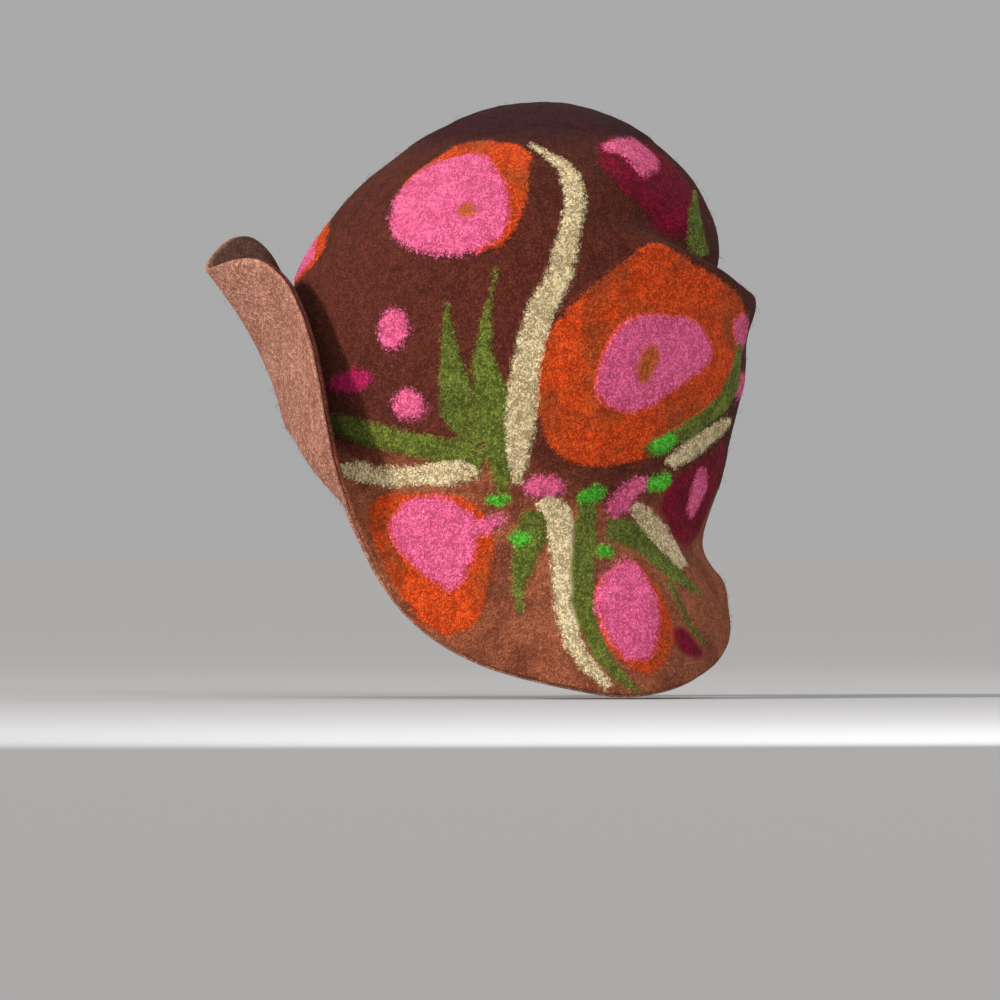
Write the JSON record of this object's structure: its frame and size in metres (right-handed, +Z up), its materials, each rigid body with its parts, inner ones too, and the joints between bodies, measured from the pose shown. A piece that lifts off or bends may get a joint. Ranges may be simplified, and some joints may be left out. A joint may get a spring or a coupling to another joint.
{
  "type": "felt cloche hat",
  "caption": "Hand-felted wool cloche with a domed crown, a tuck across the back, a turned-up front brim and felted-in flowers, stems and leaves.",
  "frame": {"origin": "centre of the head opening, in the tilted plane of the sweatband's lower edge", "axes": "+Z up as worn, -Y the way the wearer faces, +X the wearer's left"},
  "size_m": [0.2256, 0.263, 0.2837],
  "materials": {
    "brown_felt": "matte wool felt, dark brown on the crown, chestnut on the brim",
    "terracotta_felt": "matte wool felt, speckled terracotta",
    "orange_felt": "matte wool felt, fibres in two oranges",
    "rust_felt": "matte wool felt",
    "pink_felt": "matte wool felt, flecked",
    "magenta_felt": "matte wool felt",
    "burgundy_felt": "matte wool felt",
    "plum_felt": "matte wool felt",
    "green_felt": "matte wool felt, olive",
    "lime_felt": "matte wool felt",
    "cream_felt": "matte wool yarn, felted in",
    "sweatband_ribbon": "ribbed grosgrain ribbon with a low sheen",
    "sewing_thread": "twisted sewing thread"
  },
  "bodies": {
    "root": {"outer_felt_layer": "brown_felt", "inner_felt_layer": "terracotta_felt", "sweatband": "sweatband_ribbon", "sweatband_stitches": "sewing_thread", "crown_flower_petals": "orange_felt", "crown_flower_pink": "pink_felt", "crown_flower_centre": "rust_felt", "front_flower_petals": "orange_felt", "front_flower_pink": "pink_felt", "dot_upper": "pink_felt", "dot_lower": "pink_felt", "dot_shadow": "magenta_felt", "top_patch": "plum_felt", "back_crown_petals": "burgundy_felt", "back_crown_pink": "pink_felt", "back_blade": "green_felt", "crown_stem": "cream_felt", "big_flower_petals": "orange_felt", "big_flower_pink": "pink_felt", "big_flower_centre": "rust_felt", "back_bud_upper": "pink_felt", "back_bud_lower": "pink_felt", "back_vine": "green_felt", "right_stem": "cream_felt", "burgundy_leaf": "burgundy_felt", "burgundy_leaf_pink": "pink_felt", "lower_right_stem": "cream_felt", "right_leaf": "green_felt", "branch": "green_felt", "bud_centre": "pink_felt", "bud_right": "pink_felt", "bud_left": "pink_felt", "lime_dots": "lime_felt", "blade_left": "green_felt", "blade_right": "green_felt", "left_band": "green_felt", "left_stem": "cream_felt", "lower_left_petals": "orange_felt", "lower_left_pink": "pink_felt", "small_leaf": "green_felt", "lower_stem": "cream_felt", "lower_vine": "green_felt", "lower_right_petals": "orange_felt", "lower_right_pink": "pink_felt", "burgundy_petal": "burgundy_felt", "far_crown_petals": "orange_felt", "far_crown_pink": "pink_felt", "far_big_petals": "orange_felt", "far_big_pink": "pink_felt", "far_big_centre": "rust_felt", "far_stem": "cream_felt", "far_blade": "green_felt", "far_band": "green_felt", "far_lower_petals": "orange_felt", "far_lower_pink": "pink_felt", "far_lower_stem": "cream_felt", "far_lower_leaf": "green_felt", "far_buds": "pink_felt"}
  },
  "joints": []
}
